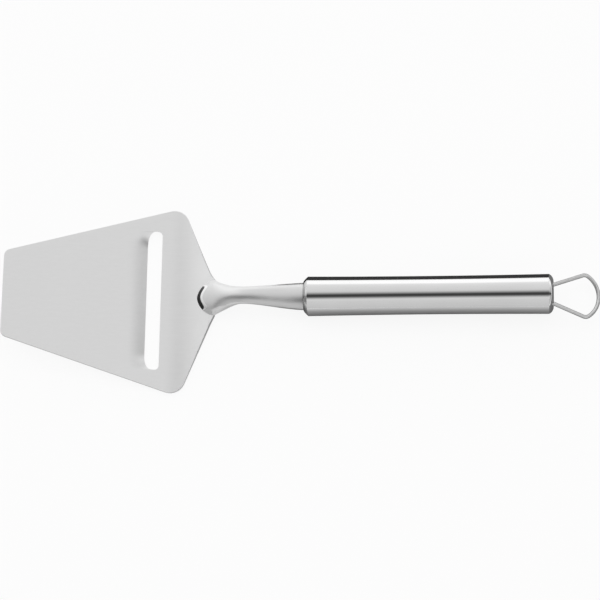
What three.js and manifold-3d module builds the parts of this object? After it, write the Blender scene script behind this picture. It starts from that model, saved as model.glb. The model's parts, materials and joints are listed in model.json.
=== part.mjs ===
// Cheese slicer, all steel: a stamped blade with a pressed cutting lip, a forged stem,
// a hollow round handle with turned ends and a captive wire loop to hang it by.
// Millimetres, +Z up, +X from the blade's tip to the loop. The tool lies as it does on a
// table: on the sweep of the blade behind its slot and on the front of the handle.
import * as THREE from 'three';
import { mergeVertices } from 'three/addons/utils/BufferGeometryUtils.js';
import Module from 'manifold-3d';

const wasm = await Module();
wasm.setup();

const degrees = THREE.MathUtils.degToRad;

// Room between two pieces that are welded, pressed or seated on each other.
const FIT = 0.3;

// Blade, in its own plane: x = 0 at the neck, the tip towards -x, the upper face at z = 0.
const SHEET = 1.5;
const TIP_REACH = 92.5;
const TIP_WIDTH = 39.5;
const TIP_CORNER_RADIUS = 3.2;
const SIDE_ANGLE = degrees(16.9);
const WIDE_CORNER_RADIUS = 6.5;
const SHOULDER_ANGLE = degrees(20.9);
const NECK_END = 3.4;
const NECK_WIDTH = 18.4;
const NECK_SIDE_ANGLE = degrees(55);
const NECK_SIDE_LENGTH = 3.15;
const NECK_FILLET = 18;
const SWEEP_REACH = 18;
const NECK_RISE = 7.5;

// Slot and cutting lip: the lip hangs from the tip side of the slot and faces the handle.
const SLOT_REACH = 20.25;
const SLOT_WIDTH = 6.5;
const SLOT_LENGTH = 65.4;
const SLOT_REAR_RADIUS = 2;
const LIP_SWEEP = 10;
const LIP_LENGTH = 7.4;
const LIP_DEPTH = 2.4;
const LIP_BEND = 0.35;
const EDGE_THICKNESS = 0.35;
const EDGE_BEVEL = 2.4;

// Handle axis against the blade: its angle and its distance from the neck on the upper face.
const HANDLE_ANGLE = degrees(14.5);
const AXIS_OFFSET = 9.5;

// Forged stem, along the handle axis: a flat oval that is welded on the neck by a thin-rimmed foot.
const NOSE_REACH = 3.9;
const NOSE_BEVEL = 1.6;
const NOSE_HEIGHT = 2;
const FOOT_MARGIN = 0.2;
const FOOT_RIM = 0.4;
const FOOT_BLEND = 1.5;
const STEM_BOW = 3.5;
const WAIST_AT = 19.6;
const WAIST_WIDTH = 7.75;
const WAIST_THICKNESS = 4.7;
const SHOULDER_WIDTH = 12.5;
const SHOULDER_THICKNESS = 6.9;
const TANG_DIAMETER = 5.5;
const TANG_LENGTH = 38;

// Handle: front ferrule, waisted tube and rear cap.
const HANDLE_FRONT = 46.9;
const FERRULE_CONE_LENGTH = 2;
const FERRULE_FRONT_DIAMETER = 13.2;
const FERRULE_SPIGOT_LENGTH = 7;
const TUBE_LENGTH = 108.7;
const TUBE_FRONT_DIAMETER = 18;
const TUBE_WAIST_DIAMETER = 17.35;
const TUBE_REAR_DIAMETER = 18;
const TUBE_WALL = 0.8;
const TUBE_EDGE = 0.25;
const BUSH_LENGTH = 8;
const CAP_CONE_LENGTH = 2;
const CAP_FACE_DIAMETER = 11.6;
const CAP_WALL = 0.8;
const CAP_SPIGOT_LENGTH = 7;

// Hanging loop, bent from wire: its legs pass the cap's end wall and turn in behind it.
const WIRE_DIAMETER = 1.75;
const LEG_SPREAD = 8.7;
const LEG_ANGLE = degrees(20.5);
const LOOP_REACH = 21.3;
const LOOP_ARC_RADIUS = 12.5;
const LOOP_CORNER_RADIUS = 2.3;
const HOOK_BEND_RADIUS = 1.3;
const HOOK_GAP = 1.8;
const LOOP_SWING = degrees(16);

// Facets of round pieces.
const CORNER_STEPS = 10;
const TUBE_SIDES = 48;
const STEM_SIDES = 28;
const WIRE_SIDES = 10;
const WIRE_STEPS = 90;

// Places that follow from the sizes above.
const TUBE_FRONT = HANDLE_FRONT + FERRULE_CONE_LENGTH;
const TUBE_REAR = TUBE_FRONT + TUBE_LENGTH;
const END_FACE = TUBE_REAR + CAP_CONE_LENGTH;
const PIVOT_DEPTH = CAP_WALL + WIRE_DIAMETER / 2 + FIT;
const SLOT_FRONT = SLOT_REACH + SLOT_WIDTH;
const BEND_LINE = SLOT_FRONT + LIP_LENGTH;
const TUBE_BORE_AT_SPIGOTS = Math.min(
  tubeRadius(FERRULE_SPIGOT_LENGTH / TUBE_LENGTH),
  tubeRadius(1 - CAP_SPIGOT_LENGTH / TUBE_LENGTH),
) - TUBE_WALL;

const satinSteel = (color, roughness) => new THREE.MeshStandardMaterial({ color, roughness, metalness: 1 });

// Closed body from a three.js geometry, for cuts and joins.
function solid(geometry) {
  const bare = geometry.clone();
  bare.deleteAttribute('normal');
  bare.deleteAttribute('uv');
  const merged = mergeVertices(bare, 1e-5);
  return new wasm.Manifold(new wasm.Mesh({
    numProp: 3,
    vertProperties: new Float32Array(merged.attributes.position.array),
    triVerts: new Uint32Array(merged.index.array),
  }));
}

function geometryOf(body) {
  const { vertProperties, triVerts } = body.getMesh();
  const geometry = new THREE.BufferGeometry();
  geometry.setAttribute('position', new THREE.BufferAttribute(vertProperties, 3));
  geometry.setIndex(new THREE.BufferAttribute(triVerts, 1));
  geometry.computeVertexNormals();
  return geometry;
}

// Box between two corners.
function block(low, high) {
  const box = new THREE.Box3(new THREE.Vector3(...low), new THREE.Vector3(...high));
  const size = box.getSize(new THREE.Vector3());
  const middle = box.getCenter(new THREE.Vector3());
  return new THREE.BoxGeometry(size.x, size.y, size.z).translate(middle.x, middle.y, middle.z);
}

// Body turned about the X axis from a closed profile of [x, radius] pairs.
function turned(profile) {
  const points = profile.map(([x, radius]) => new THREE.Vector2(radius, x));
  points.push(points[0].clone());
  return new THREE.LatheGeometry(points, TUBE_SIDES).rotateZ(-Math.PI / 2);
}

// Body through rings of equally many points, closed by a fan at each end.
function loft(rings) {
  const count = rings[0].length;
  const positions = rings.flat().flatMap((point) => [point.x, point.y, point.z]);
  const faces = [];
  for (let ring = 0; ring + 1 < rings.length; ring += 1) {
    for (let side = 0; side < count; side += 1) {
      const next = (side + 1) % count;
      const a = ring * count + side;
      const b = ring * count + next;
      const c = a + count;
      const d = b + count;
      faces.push(a, b, d, a, d, c);
    }
  }
  const last = (rings.length - 1) * count;
  for (let side = 1; side + 1 < count; side += 1) {
    faces.push(0, side + 1, side);
    faces.push(last, last + side, last + side + 1);
  }
  const geometry = new THREE.BufferGeometry();
  geometry.setAttribute('position', new THREE.Float32BufferAttribute(positions, 3));
  geometry.setIndex(faces);
  return geometry;
}

// Closed path through corners of { x, y, radius }, each corner rounded by an arc.
function roundedOutline(path, corners) {
  const flat = (corner) => new THREE.Vector2(corner.x, corner.y);
  corners.forEach((corner, index) => {
    const here = flat(corner);
    const before = flat(corners[(index + corners.length - 1) % corners.length]).sub(here).normalize();
    const after = flat(corners[(index + 1) % corners.length]).sub(here).normalize();
    const half = Math.acos(THREE.MathUtils.clamp(before.dot(after), -1, 1)) / 2;
    const run = corner.radius / Math.tan(half);
    const start = here.clone().addScaledVector(before, run);
    const end = here.clone().addScaledVector(after, run);
    const middle = before.clone().add(after).normalize();
    const centre = here.clone().addScaledVector(middle, corner.radius / Math.sin(half));
    const from = Math.atan2(start.y - centre.y, start.x - centre.x);
    const to = Math.atan2(end.y - centre.y, end.x - centre.x);
    const clockwise = before.cross(after) > 0;
    if (index === 0) path.moveTo(start.x, start.y);
    else path.lineTo(start.x, start.y);
    if (corner.radius > 0) path.absarc(centre.x, centre.y, corner.radius, from, to, clockwise);
  });
  path.closePath();
  return path;
}

// Outline of the stamped sheet, as it is before its neck is swept up. The wide corner is
// where the side, drawn from the tip, meets the shoulder, drawn from the neck.
function bladeOutline() {
  const tipHalf = TIP_WIDTH / 2;
  const neckHalf = NECK_WIDTH / 2;
  const spread = Math.tan(SIDE_ANGLE);
  const lean = Math.tan(SHOULDER_ANGLE);
  const bendX = NECK_END - NECK_SIDE_LENGTH * Math.cos(NECK_SIDE_ANGLE);
  const bendY = neckHalf + NECK_SIDE_LENGTH * Math.sin(NECK_SIDE_ANGLE);
  const wideX = (bendX - lean * (tipHalf + spread * TIP_REACH - bendY)) / (1 + lean * spread);
  const wideY = tipHalf + spread * (wideX + TIP_REACH);
  const half = [
    { x: -TIP_REACH, y: tipHalf, radius: TIP_CORNER_RADIUS },
    { x: wideX, y: wideY, radius: WIDE_CORNER_RADIUS },
    { x: bendX, y: bendY, radius: NECK_FILLET },
    { x: NECK_END, y: neckHalf, radius: 0 },
  ];
  const mirrored = half.map((corner) => ({ ...corner, y: -corner.y })).reverse();
  return roundedOutline(new THREE.Shape(), [...half, ...mirrored]);
}

// Point at a height over the sheet's upper face, which sweeps up from the slot to the neck.
function overSheet(x, y, above) {
  const run = NECK_END + SWEEP_REACH;
  const share = Math.max(0, (x + SWEEP_REACH) / run);
  const slope = Math.atan(2 * NECK_RISE * share / run);
  const height = NECK_RISE * share ** 2;
  return new THREE.Vector3(x - above * Math.sin(slope), y, height + above * Math.cos(slope));
}

// Flat part of the sheet, with the window that the slot and the lip share.
function flatSheet() {
  const outline = bladeOutline();
  const slotHalf = SLOT_LENGTH / 2;
  outline.holes.push(roundedOutline(new THREE.Path(), [
    { x: -BEND_LINE, y: -slotHalf, radius: 0 },
    { x: -SLOT_REACH, y: -slotHalf, radius: SLOT_REAR_RADIUS },
    { x: -SLOT_REACH, y: slotHalf, radius: SLOT_REAR_RADIUS },
    { x: -BEND_LINE, y: slotHalf, radius: 0 },
  ]));
  const settings = { depth: SHEET, bevelEnabled: false, curveSegments: CORNER_STEPS };
  const sheet = new THREE.ExtrudeGeometry(outline, settings).translate(0, 0, -SHEET);
  const beyond = block([-SWEEP_REACH, -TIP_REACH, -TIP_REACH], [TIP_REACH, TIP_REACH, TIP_REACH]);
  return solid(sheet).subtract(solid(beyond));
}

// Swept part of the sheet: shoulders and neck, level across and curved along the tool.
function sweptSheet() {
  const side = bladeOutline().getPoints(CORNER_STEPS).filter((point) => point.y > 0);
  const halfWidth = (x) => {
    const after = side.findIndex((point) => point.x >= x);
    const from = side[after - 1];
    const to = side[after];
    return THREE.MathUtils.mapLinear(x, from.x, to.x, from.y, to.y);
  };
  const steps = 20;
  const rings = [];
  for (let step = 0; step <= steps; step += 1) {
    const x = THREE.MathUtils.lerp(-SWEEP_REACH - FIT, NECK_END, step / steps);
    const half = halfWidth(x);
    rings.push([
      overSheet(x, half, 0),
      overSheet(x, -half, 0),
      overSheet(x, -half, -SHEET),
      overSheet(x, half, -SHEET),
    ]);
  }
  return loft(rings);
}

// Lip: pressed down from the bend line, ground to an edge below, curving in at both ends.
function cuttingLip() {
  const slotHalf = SLOT_LENGTH / 2;
  const sweepWidth = SLOT_WIDTH - SLOT_REAR_RADIUS;
  const lap = FIT;
  const across = 6;
  const endSteps = 8;
  const stations = [{ y: slotHalf + lap, edge: -SLOT_REACH - SLOT_REAR_RADIUS, drop: 0 }];
  for (let step = endSteps; step >= 0; step -= 1) {
    const turn = (step / endSteps) * Math.PI / 2;
    stations.push({
      y: slotHalf - LIP_SWEEP * (1 - Math.sin(turn)),
      edge: -SLOT_REACH - SLOT_REAR_RADIUS - sweepWidth * Math.cos(turn),
      drop: LIP_DEPTH * THREE.MathUtils.smoothstep(1 - Math.sin(turn), 0, 1),
    });
  }
  const mirrored = stations.map((station) => ({ ...station, y: -station.y })).reverse();
  const rings = [...stations, ...mirrored].reverse().map(({ y, edge, drop }) => {
    const reach = edge + BEND_LINE;
    // Soft bend first, then straight to the edge.
    const fall = (share) => {
      const soft = share < LIP_BEND ? share * share / (2 * LIP_BEND) : share - LIP_BEND / 2;
      return drop * soft / (1 - LIP_BEND / 2);
    };
    const bevelShare = 1 - EDGE_BEVEL / reach;
    const upper = [new THREE.Vector3(-BEND_LINE - lap, y, 0)];
    const lower = [new THREE.Vector3(-BEND_LINE - lap, y, -SHEET)];
    for (let step = 0; step <= across; step += 1) {
      const share = step / across;
      upper.push(new THREE.Vector3(-BEND_LINE + share * reach, y, -fall(share)));
      const back = share * bevelShare;
      lower.push(new THREE.Vector3(-BEND_LINE + back * reach, y, -SHEET - fall(back)));
    }
    lower.push(new THREE.Vector3(edge, y, -EDGE_THICKNESS - drop));
    return [...upper, ...lower.reverse()];
  });
  return loft(rings);
}

const bladeBody = flatSheet().add(solid(cuttingLip())).add(solid(sweptSheet()));
const blade = new THREE.Mesh(geometryOf(bladeBody), satinSteel(0xcfcfd0, 0.42));
blade.name = 'blade';

// Where a point at distance `along` and `above` the handle axis lies in the blade's frame.
const axisFrame = new THREE.Matrix4()
  .makeRotationY(-HANDLE_ANGLE)
  .setPosition(-AXIS_OFFSET * Math.sin(HANDLE_ANGLE), 0, AXIS_OFFSET * Math.cos(HANDLE_ANGLE));

// Height of a plane curve at a place along it, the curve running one way in x.
function heightAt(curve, place) {
  let low = 0;
  let high = 1;
  for (let step = 0; step < 40; step += 1) {
    const middle = (low + high) / 2;
    if (curve.getPoint(middle).x < place) low = middle;
    else high = middle;
  }
  return curve.getPoint(low).y;
}

const plane = (x, y) => new THREE.Vector2(x, y);
const bezier = (...points) => new THREE.CubicBezierCurve(...points);

// Forged stem: nose and flared foot on the swept neck, waist, oval shank, shoulder and tang.
// Its sections stand square to the handle axis; `along` and heights are measured from that axis.
function stemBody() {
  const toAxis = axisFrame.clone().invert();
  const overAxis = (x, above) => overSheet(x, 0, above).applyMatrix4(toAxis);
  const facing = (along) => {
    let low = -TIP_REACH;
    let high = HANDLE_FRONT;
    for (let step = 0; step < 40; step += 1) {
      const middle = (low + high) / 2;
      if (overAxis(middle, 0).x < along) low = middle;
      else high = middle;
    }
    return overAxis(low, 0).z;
  };
  const nose = overAxis(-NOSE_REACH, FIT + FOOT_RIM);
  const brow = overAxis(NOSE_BEVEL - NOSE_REACH, NOSE_HEIGHT);
  const neck = overAxis(0, NOSE_HEIGHT);
  const flareEnd = overAxis(NECK_END, 0);
  const heel = overAxis(NECK_END + FIT, -SHEET);
  const shoulderAt = HANDLE_FRONT - FIT;
  const waist = WAIST_WIDTH / 2;
  const flare = NECK_WIDTH / 2 - FOOT_MARGIN;
  const shoulder = SHOULDER_WIDTH / 2;
  const noseRun = flareEnd.x - nose.x;
  const neckRun = WAIST_AT - flareEnd.x;
  const bellyRun = WAIST_AT - heel.x;
  const shankRun = shoulderAt - WAIST_AT;
  const noseWidth = bezier(
    plane(nose.x, 0),
    plane(nose.x, flare * 0.42),
    plane(nose.x + noseRun * 0.55, flare * 0.86),
    plane(flareEnd.x, flare),
  );
  const neckWidth = bezier(
    plane(flareEnd.x, flare),
    plane(flareEnd.x + neckRun * 0.22, flare - (flare - waist) * 0.55),
    plane(flareEnd.x + neckRun * 0.6, waist),
    plane(WAIST_AT, waist),
  );
  const shank = (from, to) => bezier(
    plane(WAIST_AT, from),
    plane(WAIST_AT + shankRun * 0.22, from),
    plane(WAIST_AT + shankRun * 0.68, to - (to - from) * 0.16),
    plane(shoulderAt, to),
  );
  const shankWidth = shank(waist, shoulder);
  const shankRise = shank(WAIST_THICKNESS / 2, SHOULDER_THICKNESS / 2);
  const waistTop = STEM_BOW + WAIST_THICKNESS / 2;
  const crown = bezier(
    plane(brow.x, brow.z),
    plane(neck.x, neck.z),
    plane(WAIST_AT - neckRun * 0.6, waistTop),
    plane(WAIST_AT, waistTop),
  );
  const waistBottom = STEM_BOW - WAIST_THICKNESS / 2;
  const belly = bezier(
    plane(heel.x, heel.z),
    plane(heel.x + bellyRun * 0.25, THREE.MathUtils.lerp(heel.z, waistBottom, 0.25)),
    plane(heel.x + bellyRun * 0.6, waistBottom),
    plane(WAIST_AT, waistBottom),
  );
  const section = (along) => {
    if (along >= WAIST_AT) {
      const rise = heightAt(shankRise, along);
      const base = STEM_BOW * (1 - THREE.MathUtils.smoothstep(along, WAIST_AT, shoulderAt));
      return { width: heightAt(shankWidth, along), top: base + rise, base, bottom: base - rise, power: 1 };
    }
    const bevel = THREE.MathUtils.mapLinear(along, nose.x, brow.x, nose.z, brow.z);
    const top = along < brow.x ? bevel : heightAt(crown, along);
    const bottom = along > heel.x ? heightAt(belly, along) : facing(along) - SHEET;
    // The foot is widest at its rim on the sheet, the waist at half of its height.
    const lift = THREE.MathUtils.smoothstep(along, flareEnd.x, WAIST_AT);
    const rim = facing(Math.min(along, flareEnd.x)) + FIT + FOOT_RIM;
    const base = THREE.MathUtils.lerp(rim, (top + bottom) / 2, lift);
    const width = heightAt(along < flareEnd.x ? noseWidth : neckWidth, along);
    // Behind the nose its sides run out into the sheet.
    const blend = THREE.MathUtils.smoothstep(along, nose.x, flareEnd.x) * (1 - lift);
    return { width, top, base, bottom, power: 1 + FOOT_BLEND * blend };
  };
  const places = [];
  const noseSteps = 12;
  const noseTip = FIT / 6;
  for (let step = 0; step < noseSteps; step += 1) {
    places.push(nose.x + THREE.MathUtils.lerp(noseTip, noseRun, (step / noseSteps) ** 2));
  }
  const neckSteps = 14;
  for (let step = 0; step < neckSteps; step += 1) places.push(flareEnd.x + neckRun * step / neckSteps);
  const shankSteps = 8;
  for (let step = 0; step <= shankSteps; step += 1) places.push(WAIST_AT + shankRun * step / shankSteps);
  const rings = places.map((along) => {
    const { width, top, base, bottom, power } = section(along);
    return Array.from({ length: STEM_SIDES }, (unused, side) => {
      const turn = 2 * Math.PI * side / STEM_SIDES;
      const up = Math.sin(turn);
      const height = up > 0 ? base + (top - base) * up ** power : base + (base - bottom) * up;
      return new THREE.Vector3(along, width * Math.cos(turn), height).applyMatrix4(axisFrame);
    });
  });
  const tangRun = TANG_LENGTH + FIT;
  const tang = new THREE.CylinderGeometry(TANG_DIAMETER / 2, TANG_DIAMETER / 2, tangRun, STEM_SIDES)
    .rotateZ(-Math.PI / 2)
    .translate(shoulderAt - FIT + tangRun / 2, 0, 0)
    .applyMatrix4(axisFrame);
  return solid(loft(rings)).add(solid(tang)).subtract(solid(neckSeat()));
}

// Room for the blade's neck under the stem's foot.
function neckSeat() {
  const wide = 2 * NECK_WIDTH;
  const deep = 2 * NECK_WIDTH;
  const steps = 12;
  return loft(Array.from({ length: steps + 1 }, (unused, step) => {
    const x = THREE.MathUtils.lerp(-SWEEP_REACH, NECK_END + FIT, step / steps);
    return [
      overSheet(x, wide, FIT),
      overSheet(x, -wide, FIT),
      overSheet(x, -wide, -deep),
      overSheet(x, wide, -deep),
    ];
  }));
}

const stem = new THREE.Mesh(geometryOf(stemBody()), satinSteel(0xd2d2d2, 0.3));
stem.name = 'stem';

// Outer radius of the handle tube at a share of its length.
function tubeRadius(share) {
  const front = TUBE_FRONT_DIAMETER / 2;
  const rear = TUBE_REAR_DIAMETER / 2;
  const straight = THREE.MathUtils.lerp(front, rear, share);
  const drawnIn = (front + rear) / 2 - TUBE_WAIST_DIAMETER / 2;
  return straight - drawnIn * 4 * share * (1 - share);
}

// Waisted tube, drawn from one length of steel, with broken outer edges.
function handleTube() {
  const steps = 14;
  const outer = [[TUBE_FRONT + FIT, tubeRadius(0) - TUBE_EDGE]];
  const inner = [];
  for (let step = 0; step <= steps; step += 1) {
    const share = step / steps;
    const ends = THREE.MathUtils.lerp(FIT + TUBE_EDGE, TUBE_LENGTH - FIT - TUBE_EDGE, share);
    outer.push([TUBE_FRONT + ends, tubeRadius(ends / TUBE_LENGTH)]);
    const within = THREE.MathUtils.lerp(FIT, TUBE_LENGTH - FIT, share);
    inner.push([TUBE_FRONT + within, tubeRadius(within / TUBE_LENGTH) - TUBE_WALL]);
  }
  outer.push([TUBE_REAR - FIT, tubeRadius(1) - TUBE_EDGE]);
  return turned([...outer, ...inner.reverse()]);
}

const handleTubeMesh = new THREE.Mesh(handleTube(), satinSteel(0xdadada, 0.12));
handleTubeMesh.name = 'handle_tube';

// Ferrule: bored cone that closes the tube's front, with a spigot in the tube.
function frontFerrule() {
  const bore = TANG_DIAMETER / 2 + FIT;
  const spigot = TUBE_BORE_AT_SPIGOTS - FIT;
  const spigotEnd = TUBE_FRONT + FERRULE_SPIGOT_LENGTH;
  return turned([
    [HANDLE_FRONT, bore],
    [HANDLE_FRONT, FERRULE_FRONT_DIAMETER / 2],
    [TUBE_FRONT, tubeRadius(0) - TUBE_EDGE],
    [TUBE_FRONT, spigot],
    [spigotEnd, spigot],
    [spigotEnd, bore],
  ]);
}

const ferrule = new THREE.Mesh(frontFerrule(), satinSteel(0xd6d6d6, 0.15));
ferrule.name = 'front_ferrule';

// Bush: centres the far end of the tang in the tube.
function tangBush() {
  const end = HANDLE_FRONT - FIT + TANG_LENGTH;
  const start = end - BUSH_LENGTH;
  const narrowest = Math.min(
    tubeRadius((start - TUBE_FRONT) / TUBE_LENGTH),
    tubeRadius((end - TUBE_FRONT) / TUBE_LENGTH),
  );
  const outer = narrowest - TUBE_WALL - FIT;
  const bore = TANG_DIAMETER / 2 + FIT;
  return turned([[start, bore], [start, outer], [end, outer], [end, bore]]);
}

const bush = new THREE.Mesh(tangBush(), satinSteel(0xb9b9b9, 0.5));
bush.name = 'tang_bush';

// Cap: drawn cup with a spigot in the tube, a cone and an end wall with two long holes.
function rearCap() {
  const spigot = TUBE_BORE_AT_SPIGOTS - FIT;
  const spigotStart = TUBE_REAR - CAP_SPIGOT_LENGTH;
  const face = CAP_FACE_DIAMETER / 2;
  const cup = solid(turned([
    [spigotStart, spigot - CAP_WALL],
    [spigotStart, spigot],
    [TUBE_REAR, spigot],
    [TUBE_REAR, tubeRadius(1) - TUBE_EDGE],
    [END_FACE, face],
    [END_FACE, 0],
    [END_FACE - CAP_WALL, 0],
    [END_FACE - CAP_WALL, face - CAP_WALL / 2],
    [TUBE_REAR, spigot - CAP_WALL],
  ]));
  const rise = PIVOT_DEPTH * Math.tan(LOOP_SWING) + WIRE_DIAMETER / 2 / Math.cos(LOOP_SWING) + FIT;
  const slant = CAP_WALL * Math.tan(LEG_ANGLE) / 2;
  const side = WIRE_DIAMETER / 2 / Math.cos(LEG_ANGLE) + slant + FIT;
  const place = LEG_SPREAD / 2 - slant;
  const hole = roundedOutline(new THREE.Shape(), [
    { x: -rise, y: -side, radius: side * 0.98 },
    { x: rise, y: -side, radius: side * 0.98 },
    { x: rise, y: side, radius: side * 0.98 },
    { x: -rise, y: side, radius: side * 0.98 },
  ]);
  const settings = { depth: 4 * CAP_WALL, bevelEnabled: false, curveSegments: CORNER_STEPS / 2 };
  const cutter = new THREE.ExtrudeGeometry(hole, settings)
    .rotateY(Math.PI / 2)
    .translate(END_FACE - 2 * CAP_WALL, 0, 0);
  const upper = solid(cutter.clone().translate(0, place, 0));
  const lower = solid(cutter.clone().translate(0, -place, 0));
  return cup.subtract(upper).subtract(lower);
}

const cap = new THREE.Mesh(geometryOf(rearCap()), satinSteel(0xd6d6d6, 0.15));
cap.name = 'rear_cap';

// Loop: one bent wire, its middle line worked out from legs, corners and the outer arc.
// The origin is on the swing axis, midway between the two hooks.
function hangingLoop() {
  const face = PIVOT_DEPTH;
  const legX = Math.cos(LEG_ANGLE);
  const legY = Math.sin(LEG_ANGLE);
  const legStart = LEG_SPREAD / 2 - face * Math.tan(LEG_ANGLE);
  const arcCentre = face + LOOP_REACH - LOOP_ARC_RADIUS;
  // A corner touches the leg from inside and the outer arc from inside.
  const insideX = LOOP_CORNER_RADIUS * legY - arcCentre;
  const insideY = legStart - LOOP_CORNER_RADIUS * legX;
  const along = insideX * legX + insideY * legY;
  const span = LOOP_ARC_RADIUS - LOOP_CORNER_RADIUS;
  const run = -along + Math.sqrt(along ** 2 - insideX ** 2 - insideY ** 2 + span ** 2);
  const cornerX = insideX + arcCentre + run * legX;
  const cornerY = insideY + run * legY;
  const arcAngle = Math.atan2(cornerY, cornerX - arcCentre);
  const legNormal = LEG_ANGLE + Math.PI / 2;
  const bend = HOOK_BEND_RADIUS;
  const bendY = legStart - bend * (1 - legY) / legX;
  const path = new THREE.Path();
  path.moveTo(0, HOOK_GAP / 2);
  path.lineTo(0, bendY);
  path.absarc(bend, bendY, bend, Math.PI, legNormal, true);
  path.lineTo(cornerX - LOOP_CORNER_RADIUS * legY, cornerY + LOOP_CORNER_RADIUS * legX);
  path.absarc(cornerX, cornerY, LOOP_CORNER_RADIUS, legNormal, arcAngle, true);
  path.absarc(arcCentre, 0, LOOP_ARC_RADIUS, arcAngle, -arcAngle, true);
  path.absarc(cornerX, -cornerY, LOOP_CORNER_RADIUS, -arcAngle, -legNormal, true);
  path.absarc(bend, -bendY, bend, -legNormal, -Math.PI, true);
  path.lineTo(0, -HOOK_GAP / 2);
  const points = path.getSpacedPoints(WIRE_STEPS).map((point) => new THREE.Vector3(point.x, point.y, 0));
  const route = new THREE.CatmullRomCurve3(points);
  const section = new THREE.Shape().absarc(0, 0, WIRE_DIAMETER / 2, 0, 2 * Math.PI);
  return new THREE.ExtrudeGeometry(section, {
    steps: WIRE_STEPS,
    curveSegments: WIRE_SIDES / 2,
    extrudePath: route,
  });
}

const loop = new THREE.Mesh(hangingLoop(), satinSteel(0xbfbfbf, 0.25));
loop.name = 'hanging_loop';

// The loop hangs at the lower end of its swing.
const loopSwing = new THREE.Group();
loopSwing.position.x = END_FACE - PIVOT_DEPTH;
loopSwing.rotation.y = LOOP_SWING;
loopSwing.add(loop);

const handle = new THREE.Group();
handle.applyMatrix4(axisFrame);
handle.add(handleTubeMesh, ferrule, bush, cap, loopSwing);

// At rest a straight line under the tool touches the sheet's sweep and one end of the handle.
function restTilt() {
  const undersides = [blade, stem].map((piece) => piece.geometry.attributes.position);
  const handleEnds = [
    new THREE.Vector3(TUBE_FRONT + FIT + TUBE_EDGE, 0, -tubeRadius(0)),
    new THREE.Vector3(TUBE_REAR - FIT - TUBE_EDGE, 0, -tubeRadius(1)),
  ];
  const tilts = handleEnds.map((end) => {
    end.applyMatrix4(axisFrame);
    let steepest = 0;
    for (const spots of undersides) {
      for (let spot = 0; spot < spots.count; spot += 1) {
        const run = end.x - spots.getX(spot);
        if (run > 0) steepest = Math.max(steepest, Math.atan2(end.z - spots.getZ(spot), run));
      }
    }
    return steepest;
  });
  return Math.min(...tilts);
}

const slicer = new THREE.Group();
slicer.name = 'cheese_slicer';
slicer.add(blade, stem, handle);
slicer.rotation.y = restTilt();
slicer.updateMatrixWorld(true);
const extent = new THREE.Box3().setFromObject(slicer, true);
const centre = extent.getCenter(new THREE.Vector3());
slicer.position.set(-centre.x, -centre.y, -extent.min.z);
slicer.updateMatrixWorld(true);

export default slicer;
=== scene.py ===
import json
import math

import bmesh
import bpy
from mathutils import Matrix, Vector


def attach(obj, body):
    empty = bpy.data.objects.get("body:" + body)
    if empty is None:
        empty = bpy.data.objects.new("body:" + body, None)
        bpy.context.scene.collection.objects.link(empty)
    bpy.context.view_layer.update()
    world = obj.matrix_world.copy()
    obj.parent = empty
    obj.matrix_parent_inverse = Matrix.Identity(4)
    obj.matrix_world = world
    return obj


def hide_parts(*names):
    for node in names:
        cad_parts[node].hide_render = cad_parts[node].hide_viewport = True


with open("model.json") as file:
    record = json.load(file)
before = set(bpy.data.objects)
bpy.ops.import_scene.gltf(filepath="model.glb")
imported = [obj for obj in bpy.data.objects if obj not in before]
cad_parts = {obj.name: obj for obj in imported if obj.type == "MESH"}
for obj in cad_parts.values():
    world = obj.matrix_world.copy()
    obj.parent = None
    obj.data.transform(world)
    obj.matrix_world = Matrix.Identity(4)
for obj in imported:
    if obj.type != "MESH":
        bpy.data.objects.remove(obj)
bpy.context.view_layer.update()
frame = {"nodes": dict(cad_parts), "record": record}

# Blade: one stamped sheet of stainless steel, ground to a satin. A slot crosses its wide end,
# the strip on the tip side of the slot is pressed down and ground to the cutting edge, and
# the sheet sweeps up behind the slot into a neck. Sizes are in millimetres in its own plane.
MM = 0.001
SHEET = 1.49
TIP_REACH, TIP_HALF, TIP_ROUND = 92.5, 19.75, 3.2
SIDE_ANGLE, SHOULDER_ANGLE = math.radians(16.9), math.radians(20.9)
WIDE_ROUND, ROUND_STEPS = 6.5, 14
NECK_END, NECK_HALF, NECK_NEAR_HALF = 3.4, 9.2, 7.7
NECK_SIDE_ANGLE, NECK_SIDE, NECK_ROUND = math.radians(55), 3.15, 18.0
SWEEP_REACH, NECK_RISE = 18.0, 7.5
SWEEP_CUTS, CUT_SNAP = 30, 0.02
SLOT_REACH, SLOT_HALF, SLOT_ROUND, SLOT_ROUND_STEPS = 20.25, 32.7, 2.0, 8
BEND_LINE, LIP_REACH = 36.0, 26.75
LIP_SWEEP, LIP_DEPTH, LIP_BEND, LIP_ROUND = 8.0, 2.4, 0.8, 3.0
LIP_ROWS, LIP_COLUMNS, ON_EDGE = 16, 140, 0.999
CUTTING_EDGE, CUTTING_BEVEL = 0.35, 2.4
SHEET_BREAK, FULL_DEPTH = 0.16, 0.99 * SHEET
SHEARED = 1

# The sole's place and its direction are in the record, and they fix the blade's own frame.
sole = next(mount for mount in frame["record"]["mounts"] if mount["name"] == "blade_sole")
SOLE_SPOT = Vector((-60.0, 0.0, -1.5)) * MM
tilt = math.atan2(-sole["axis"][0], -sole["axis"][2])
turn = Matrix.Rotation(tilt, 4, "Y")
sole_place = Matrix.Translation(Vector(sole["pos_m"]) - turn @ SOLE_SPOT)
blade_place = sole_place @ turn @ Matrix.Scale(MM, 4)


def over_sheet(x, y, above):
    """Point at a height over the sheet's upper face."""
    run = NECK_END + SWEEP_REACH
    share = max(0.0, (x + SWEEP_REACH) / run)
    slope = math.atan(2.0 * NECK_RISE * share / run)
    height = NECK_RISE * share ** 2
    return Vector((x - above * math.sin(slope), y, height + above * math.cos(slope)))


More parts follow.
